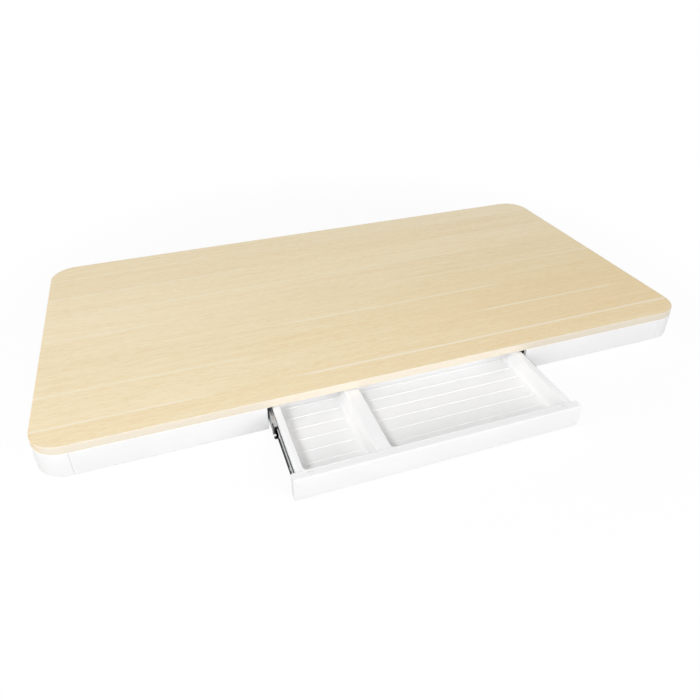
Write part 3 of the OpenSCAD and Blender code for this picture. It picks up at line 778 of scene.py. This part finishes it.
trayShape = {
    "rim": 11.5 * mm,
    "frontRim": 1.9 * mm,
    "leftWell": 112.5 * mm,
    "divider": 24.3 * mm,
    "depth": 33 * mm,
    "draft": math.radians(3),
    "floorRound": 7 * mm,
    "wellCorner": 6 * mm,           # at the rim, in plan
    "footCorner": 2.5 * mm,
    "rimRound": 0.8 * mm,           # edge between a well and the rim
    "outerRound": 0.9 * mm,
    "lowRound": 0.5 * mm,
    "outerCorner": 2 * mm,
    "wall": 2.5 * mm,
    "skirtRound": 0.5 * mm,
    "skirtStep": 0.4 * mm,          # flat between the skirt and the channels above it
    "ribs": 6,
    "ribPitch": 26.3 * mm,
    "ribStart": 43 * mm,
    "ribStop": 9 * mm,              # from a rib's end to the well's side
    "ribHalf": 1.4 * mm,
    "ribHeight": 0.7 * mm,
    "gateMark": (20 * mm, 47 * mm),     # from the right well's left front corner
    "gateRadius": 2.2 * mm,
    "gateHeight": 0.2 * mm,
}


def trayPlaces(shape):              # where the walls, wells and floors are
    low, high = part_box("drawer_tray")
    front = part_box("left_drawer_rail")[0].y
    leftWell = low.x + shape["rim"]
    divider = leftWell + shape["leftWell"]
    return {
        "low": flat(low.x, front),
        "high": flat(high.x, high.y),
        "bottom": low.z,
        "rim": high.z,
        "floor": high.z - shape["depth"],
        "wellFront": front + shape["frontRim"],
        "wellRear": high.y - shape["rim"],
        "wells": [(leftWell, divider), (divider + shape["divider"], high.x - shape["rim"])],
    }


def wellSteps(shape, rim):          # (drawn in, level) from the rim's flat down to the floor
    edge, foot, lean = shape["rimRound"], shape["floorRound"], shape["draft"]
    turns = evenSteps(quarterTurn - lean, 6)
    steps = [(-edge * (1 - math.sin(t)), rim - edge * (1 - math.cos(t))) for t in turns]
    floor = rim - shape["depth"]
    wallTop = steps[-1]
    footTop = floor + foot * (1 - math.sin(lean))
    wallFoot = wallTop[0] + (wallTop[1] - footTop) * math.tan(lean)
    centre = wallFoot + foot * math.cos(lean)
    bend = [lean + t for t in evenSteps(quarterTurn - lean, 7)]
    steps += [(centre - foot * math.cos(t), floor + foot - foot * math.sin(t)) for t in bend]
    return steps


def addWells(shell, shape, places):     # gives back the wells' rings at the rim
    mouths = []
    for left, right in places["wells"]:
        rings = []
        for drawn, z in wellSteps(shape, places["rim"]):
            corner = max(shape["wellCorner"] - drawn, shape["footCorner"])
            low = flat(left + drawn, places["wellFront"] + drawn)
            high = flat(right - drawn, places["wellRear"] - drawn)
            rings.append(shell.ring(level(roundRect(low, high, [corner] * 4, steps=10), z)))
        shell.skin(rings)
        shell.fill(rings[-1])
        mouths.append(rings[0])
    return mouths


def addUnderside(shell, shape, places, foot):   # a skirt, and channels like a comb beside the wells
    wall, step = shape["wall"], shape["skirtStep"]
    inner = (places["low"] + flat(wall, wall), places["high"] - flat(wall, wall))
    skirt = roundRect(*inner, [shape["skirtRound"]] * 4)
    under = places["floor"] - wall
    lip, ceiling = (shell.ring(level(skirt, z)) for z in (places["bottom"], under))
    shell.fill(foot, lip)
    shell.skin([lip, ceiling])
    combLow, combHigh = inner[0] + flat(step, step), inner[1] - flat(step, step)
    behind = places["wellRear"] + wall
    comb = [combLow]
    for left, right in places["wells"]:
        comb += [flat(left - wall, combLow.y), flat(left - wall, behind)]
        comb += [flat(right + wall, behind), flat(right + wall, combLow.y)]
    comb += [flat(combHigh.x, combLow.y), combHigh, flat(combLow.x, combHigh.y)]
    channel = [shell.ring(level(comb, z)) for z in (under, places["rim"] - wall)]
    shell.skin(channel)
    shell.fill(ceiling, channel[0])
    shell.fill(channel[1])


def ribRings(shape, left, right, y, floor):     # a low rounded bar, sunk a little into the floor
    rings = []
    for rise in (-1.2, 0.0, 0.3, 0.55, 0.75, 0.9, 1.0):
        half = shape["ribHalf"] * math.sqrt(1 - 0.96 * max(rise, 0.0) ** 2)
        drawn = shape["ribHalf"] - half
        low, high = flat(left + drawn, y - half), flat(right - drawn, y + half)
        plan = roundRect(low, high, [half * 0.7] * 4, steps=5)
        rings.append(level(plan, floor + rise * shape["ribHeight"]))
    return rings


def floorRibs(shape, places):
    shell = PieceMesh()
    stop = shape["ribStop"]
    for left, right in places["wells"]:
        for i in range(shape["ribs"]):
            y = places["low"].y + shape["ribStart"] + i * shape["ribPitch"]
            shell.sweep(ribRings(shape, left + stop, right - stop, y, places["floor"]))
    return shell


def gateMark(shape, places):        # the round mark that the mould leaves
    x, y = shape["gateMark"]
    radius, height = shape["gateRadius"], shape["gateHeight"]
    spot = Vector((places["wells"][1][0] + x, places["wellFront"] + y, places["floor"]))
    return turned([(radius, -2.5 * height), (radius, height / 2), (radius * 0.9, height)], spot)


def makeTray(shape):
    places = trayPlaces(shape)
    outer = roundRect(places["low"], places["high"], [shape["outerCorner"]] * 4)
    steps = edgeSteps(places["bottom"], places["rim"], shape["lowRound"], shape["outerRound"])
    shell = PieceMesh()
    sides = [shell.ring(level(inset(outer, d), z)) for d, z in steps]
    shell.skin(sides)
    mouths = addWells(shell, shape, places)
    shell.fill(sides[-1], *mouths)
    addUnderside(shell, shape, places, sides[0])
    mesh = carve(shell.mesh("tray"), floorRibs(shape, places).mesh("ribs"), "UNION")
    mesh = carve(mesh, gateMark(shape, places).mesh("gateMark"), "UNION")
    place("trayMoulding", mesh, "drawer", "tray_plastic", ["drawer_tray"])


makeTray(trayShape)
print("tray done")


# Drawer front: profile, end caps and plugs

frontShape = {
    "topRound": 0.9 * mm,
    "lowRound": 2.0 * mm,
    "backRound": 0.9 * mm,
    "leastRound": 0.05 * mm,
    "rebate": (1.2 * mm, 6 * mm),   # width and depth of the step against the tray's rim
    "capDepth": 3.0 * mm,
    "capRound": 0.9 * mm,
    "capFoot": 2.6 * mm,            # rounded lower corner at each end
    "seam": 0.35 * mm,              # bevel at the joint with an end cap
    "bead": (0.8 * mm, 0.2 * mm),   # half width and height of the lip along the back edge
    "plugHole": 3.6 * mm,           # radius
    "plugTop": 3.44 * mm,
    "plugDepth": 2.0 * mm,
    "plugSink": 0.1 * mm,           # the black ring round the plug, painted shade for the gap, lies this far below the face
    "plugPlay": 0.02 * mm,
    "plugCrown": 0.15 * mm,
}


def frontRing(shape, x, drawn, foot=0.0):   # outline of the drawer front at x, drawn in from its faces
    low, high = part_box("drawer_front")
    low.z += max(foot - drawn, 0.0)
    rounds = [shape[name] for name in ("lowRound", "backRound", "backRound", "topRound")]
    radii = [max(radius - drawn, shape["leastRound"]) for radius in rounds]
    plan = roundRect(flat(low.y + drawn, low.z + drawn), flat(high.y - drawn, high.z - drawn), radii)
    return [(x, p.x, p.y) for p in plan]


def capJoints(shape):
    left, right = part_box("front_cap_left")[0].x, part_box("front_cap_right")[1].x
    return left + shape["capDepth"], right - shape["capDepth"]


def trayStep(shape, high):          # what the front leaves free along the tray's rim
    trayLow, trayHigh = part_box("drawer_tray")
    width, depth = shape["rebate"]
    stepLow = Vector((trayLow.x, high.y - width, high.z - depth))
    stepHigh = Vector((trayHigh.x, high.y + width, high.z + width))
    return roundedBlock(stepLow, stepHigh)


def beadAlong(shape, low, high):    # a fine lip on the top face, just before its back edge
    half, rise = shape["bead"]
    middle = high.y - shape["backRound"] - half
    turns = evenSteps(math.pi, 8)
    arch = [(middle + half * math.cos(t), high.z + rise * math.sin(t)) for t in turns]
    section = [(middle + half, high.z - rise)] + arch + [(middle - half, high.z - rise)]
    shell = PieceMesh()
    shell.sweep([[(x, y, z) for y, z in section] for x in (low.x, high.x)])
    return shell


def plugSpots(top):                 # middles of the two plugs, on the front's top face
    low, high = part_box("front_plugs")
    radius, y = (high.y - low.y) / 2, (low.y + high.y) / 2
    return {"left": Vector((low.x + radius, y, top)), "right": Vector((high.x - radius, y, top))}


def makePlug(shape, hand, spot):    # a white plug in a thin black ring, painted shade for the gap round it
    hole, top, depth = shape["plugHole"], shape["plugTop"], shape["plugDepth"]
    sink, play, rise = shape["plugSink"], shape["plugPlay"], shape["plugCrown"]
    outer, inner, floor = hole - play, top + play, -depth / 2
    shadeRing = turned([(outer, play - depth), (outer, -sink), (inner, -sink), (inner, floor)], spot)
    place(hand + "_plug_shade_ring", shadeRing.mesh("shadeRing"), "drawer", "black_plastic", ["front_plugs"])
    crown = [(top, floor + play), (top, -rise)]
    crown += [(top * share, -rise * share ** 3) for share in (0.95, 0.8, 0.5, 0.2)]
    plug = turned(crown, spot)
    place(hand + "_plug", plug.mesh("plug"), "drawer", "white_moulding", ["front_plugs"])


def makeFront(shape):
    low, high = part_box("drawer_front")
    low.x, high.x = capJoints(shape)
    seam = shape["seam"]
    ends = [(low.x, seam), (low.x + seam, 0), (high.x - seam, 0), (high.x, seam)]
    shell = PieceMesh()
    shell.sweep([frontRing(shape, x, drawn) for x, drawn in ends])
    mesh = carve(shell.mesh("front"), trayStep(shape, high), "DIFFERENCE")
    mesh = carve(mesh, beadAlong(shape, low, high).mesh("bead"), "UNION")
    hole, depth = shape["plugHole"], shape["plugDepth"]
    for hand, spot in plugSpots(high.z).items():
        drill = turned([(hole, -depth), (hole, depth)], spot)
        mesh = carve(mesh, drill.mesh("plugHole"), "DIFFERENCE")
        makePlug(shape, hand, spot)
    place("frontProfile", mesh, "drawer", "white_profile", ["drawer_front"])


def roundedAway(reach, radius):     # how far a rounded edge has drawn in, at this reach from the end
    missing = max(radius - reach, 0.0)
    return radius - math.sqrt(radius ** 2 - missing ** 2)


def makeFrontCaps(shape):
    seam, bend, foot = shape["seam"], shape["capRound"], shape["capFoot"]
    shares = [1 - math.sin(t) for t in evenSteps(quarterTurn, 6)]
    reaches = sorted({radius * share for share in shares for radius in (bend, foot)}, reverse=True)
    for side, node, joint in zip((-1, 1), ("front_cap_left", "front_cap_right"), capJoints(shape)):
        face = joint + side * shape["capDepth"]
        ends = [(joint, seam, 0), (joint + side * seam, 0, 0)]
        ends += [(face - side * r, roundedAway(r, bend), roundedAway(r, foot)) for r in reaches]
        shell = PieceMesh()
        shell.sweep([frontRing(shape, *end) for end in ends])
        place(node + "_skin", shell.mesh(node), "drawer", "white_moulding", [node])


makeFront(frontShape)
makeFrontCaps(frontShape)
print("drawer front done")


# Slides: rolled rails, black buffers

railShape = {
    "sheet": 1.2 * mm,
    "bend": 1.3 * mm,
    "lip": 1.2 * mm,
    "pin": (2.5 * mm, 0.4 * mm, 3.0 * mm),  # radius, rise and how far below the middle
}


def foldedLine(line, bend):         # the line with rounded bends, each a curve through three points
    path = [line[0]]
    for before, here, after in zip(line, line[1:], line[2:]):
        into, out = here - before, after - here
        reach = min(bend, into.length * 0.49, out.length * 0.49)
        start, end = into.normalized() * reach, out.normalized() * reach
        path += [here - start * (1 - t) ** 2 + end * t ** 2 for t in evenSteps(1.0, 6)]
    return path + [line[-1]]


def sheetSection(line, sheet, bend):    # closed outline of a sheet folded along a line
    path = foldedLine(line, bend)
    leftSide, rightSide = [], []
    for before, here, after in zip(path[:1] + path, path, path[1:] + path[-1:]):
        ahead = (after - before).normalized()
        aside = flat(-ahead.y, ahead.x) * sheet / 2
        leftSide.append(here + aside)
        rightSide.append(here - aside)
    return rightSide + leftSide[::-1]


def railLine(node, shape, webOutside, lip=0.0):     # the sheet's middle: (distance aside, level)
    low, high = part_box(node)
    half = shape["sheet"] / 2
    near, far = sorted((abs(low.x), abs(high.x)))
    web, mouth = (far - half, near) if webOutside else (near + half, far)
    top, under = high.z - half, low.z + half
    if not lip:
        return [flat(mouth, top), flat(web, top), flat(web, under), flat(mouth, under)]
    mouth += half                   # the lips turn in at the mouth
    line = [flat(mouth, top - lip), flat(mouth, top), flat(web, top)]
    return line + [flat(web, under), flat(mouth, under), flat(mouth, under + lip)]


def makeRail(name, node, body, side, line, shape, finish="rail_steel"):
    low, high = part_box(node)
    section = sheetSection(line, shape["sheet"], shape["bend"])
    shell = PieceMesh()
    shell.sweep([[(side * p.x, y, p.y) for p in section] for y in (low.y, high.y)])
    place(name, shell.mesh(name), body, "rail_steel", [node], finish=finish)


def makeBumperPin(hand, shape):     # a flat white pin holds the bumper to the middle rail
    low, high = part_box(hand + "_rail_bumper")
    radius, rise, sink = shape["pin"]
    profile = [(radius, -rise), (radius, rise * 0.5), (radius * 0.8, rise), (radius * 0.3, rise)]
    mesh = turned(profile, Vector()).mesh("pin")
    spot = Vector(((low.x + high.x) / 2, low.y, (low.z + high.z) / 2 - sink))
    mesh.transform(Matrix.Translation(spot) @ Matrix.Rotation(quarterTurn, 4, "X"))
    place(hand + "BumperPin", mesh, hand + "_middle", "white_moulding")


def makeSlides(shape):
    for side, hand in ((-1, "left"), (1, "right")):
        node = hand + "_fixed_rail"
        line = railLine(node, shape, webOutside=True, lip=shape["lip"])
        makeRail(hand + "FixedRail", node, "desk", side, line, shape)
        node = hand + "_middle_rail"
        line = railLine(node, shape, webOutside=True)
        makeRail(hand + "MiddleRail", node, hand + "_middle", side, line, shape)
        node = hand + "_drawer_rail"
        line = railLine(node, shape, webOutside=False)
        makeRail(hand + "DrawerRail", node, "drawer", side, line, shape, "drawer_rail")
        makeBumperPin(hand, shape)


makeSlides(railShape)
print("slides done")


# Solids that keep their shape get a finish and eased edges

solidFinishes = {                   # finish, and width of the eased edges
    "top_board": ("wood_top", 0),
    "frame_inserts": ("brass", 0.2 * mm),
    "apron_brackets": ("zinc_steel", 0.4 * mm),
    "bracket_screws": ("zinc_steel", 0.3 * mm),
    "corner_screws": ("zinc_steel", 0.3 * mm),
    "left_hanger": ("hanger_steel", 0.4 * mm),
    "right_hanger": ("hanger_steel", 0.4 * mm),
    "hanger_screws": ("zinc_steel", 0.3 * mm),
    "fixed_rail_screws": ("zinc_steel", 0.25 * mm),
    "drawer_rail_screws": ("zinc_steel", 0.25 * mm),
    "front_screws": ("zinc_steel", 0.25 * mm),
    "rear_bumpers": ("black_plastic", 0.8 * mm),
    "left_rail_bumper": ("black_plastic", 0.7 * mm),
    "right_rail_bumper": ("black_plastic", 0.7 * mm),
    "left_outer_cage": ("cage_steel", 0.12 * mm),
    "right_outer_cage": ("cage_steel", 0.12 * mm),
    "left_inner_cage": ("cage_steel", 0.12 * mm),
    "right_inner_cage": ("cage_steel", 0.12 * mm),
    "left_outer_balls": ("ball_steel", 0),
    "right_outer_balls": ("ball_steel", 0),
    "left_inner_balls": ("ball_steel", 0),
    "right_inner_balls": ("ball_steel", 0),
}
easedEdges = {
    "weld": 0.002 * mm,             # corners closer than this are one
    "segments": 2,
    "fromAngle": math.radians(40),
}


def dressSolids(table, edges):
    for node, (slot, ease) in table.items():
        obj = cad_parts[node]
        obj.data.materials.clear()
        obj.data.materials.append(finishes[slot])
        if ease:
            weld = obj.modifiers.new("joinedEdges", "WELD")
            weld.merge_threshold = edges["weld"]
            bevel = obj.modifiers.new("easedEdges", "BEVEL")
            bevel.width = ease
            bevel.segments = edges["segments"]
            bevel.limit_method = "ANGLE"
            bevel.angle_limit = edges["fromAngle"]


dressSolids(solidFinishes, easedEdges)
print("solids dressed:", len(solidFinishes))


# Floor, world and lamps

stageLook = {
    "floorColour": paint(250, 250, 250),
    "floorBounce": paint(178, 178, 178),    # what the object gets back from the floor
    "floorGlow": 0.9,               # share of plain white that the camera sees near the object
    "whiteFrom": (0.55, 1.0),       # metres from the middle over which the floor turns all white
    "floorHalf": 30.0,
    "floorDrop": 0.1 * mm,          # below the object
    "ambient": 0.43,
}
plainWhite = (1.0, 1.0, 1.0, 1.0)
lamps = {
    "keyLamp": {"place": (-1.65, -2.2, 2.25), "aim": (0, -0.15, 0), "size": (0.6, 0.6), "watts": 39},
    "stripLamp": {"place": (-1.9, 0.2, 2.6), "aim": (0, 0.2, 0), "size": (2.4, 0.6), "watts": 6},
    "leftLamp": {"place": (-3.2, -0.9, 0.8), "aim": (0, -0.15, 0), "size": (1.0, 1.0), "watts": 12},
    "lowLamp": {"place": (-1.3, -3.1, 0.9), "aim": (0, -0.15, 0), "size": (1.0, 1.0), "watts": 14},
    "fillLamp": {"place": (1.5, -2.9, 1.0), "aim": (0, -0.15, 0), "size": (1.0, 1.0), "watts": 18},
    "frontLamp": {"place": (0.6, -3.0, 2.0), "aim": (0, -0.15, 0), "size": (1.0, 1.0), "watts": 17},
}


def seenPlainly(start):             # camera, mirror and glass rays see plain white
    path = start.node("LightPath", output="Is Camera Ray")
    seen = path.maths("MAXIMUM", path, path.other("Is Glossy Ray"))
    return path.maths("MAXIMUM", seen, path.other("Is Transmission Ray"))


def floorPaint(look):
    material, shader, start = newFinish("floorPaint", {"Roughness": 0.9, "Specular IOR Level": 0.0})
    feed(shader, {"Base Color": mixed(seenPlainly(start), look["floorBounce"], look["floorColour"])})
    glow = start.node("Emission", {}, {"Color": plainWhite, "Strength": 1.0})
    painted = Wire(material.node_tree, shader.outputs[0])
    away = start.node("VectorMath", {"operation": "LENGTH"}, {0: onObject(start)}, output="Value")
    white = look["floorGlow"] + (1 - look["floorGlow"]) * smooth(away, *look["whiteFrom"])
    mix = start.node("MixShader", {}, {0: seenPlainly(start) * white, 1: painted, 2: glow})
    output = material.node_tree.nodes["Material Output"]
    material.node_tree.links.new(mix.socket, output.inputs["Surface"])
    return material


def makeFloor(look):
    half, z = look["floorHalf"], cadLow.z - look["floorDrop"]
    shell = PieceMesh()
    shell.fill(shell.ring([(-half, -half, z), (half, -half, z), (half, half, z), (-half, half, z)]))
    floor = bpy.data.objects.new("floor", shell.mesh("floor"))
    scene.collection.objects.link(floor)
    floor.data.materials.append(floorPaint(look))


def makeWorld(look):
    world = bpy.data.worlds.new("whiteRoom")
    world.use_nodes = True
    scene.world = world
    tree = world.node_tree
    start = Wire(tree)
    soft = start.node("Background", {}, {"Color": plainWhite, "Strength": look["ambient"]})
    white = start.node("Background", {}, {"Color": plainWhite, "Strength": 1.0})
    mix = start.node("MixShader", {}, {0: seenPlainly(start), 1: soft, 2: white})
    tree.links.new(mix.socket, tree.nodes["World Output"].inputs["Surface"])


def hangLamps(table):
    for name, lamp in table.items():
        data = bpy.data.lights.new(name, "AREA")
        data.shape = "RECTANGLE"
        data.size, data.size_y = lamp["size"]
        data.energy = lamp["watts"]
        obj = bpy.data.objects.new(name, data)
        obj.location = lamp["place"]
        obj.rotation_euler = (Vector(lamp["aim"]) - obj.location).to_track_quat("-Z", "Y").to_euler()
        scene.collection.objects.link(obj)


makeFloor(stageLook)
makeWorld(stageLook)
hangLamps(lamps)
scene.view_settings.view_transform = "Standard"
print("stage and lamps done")
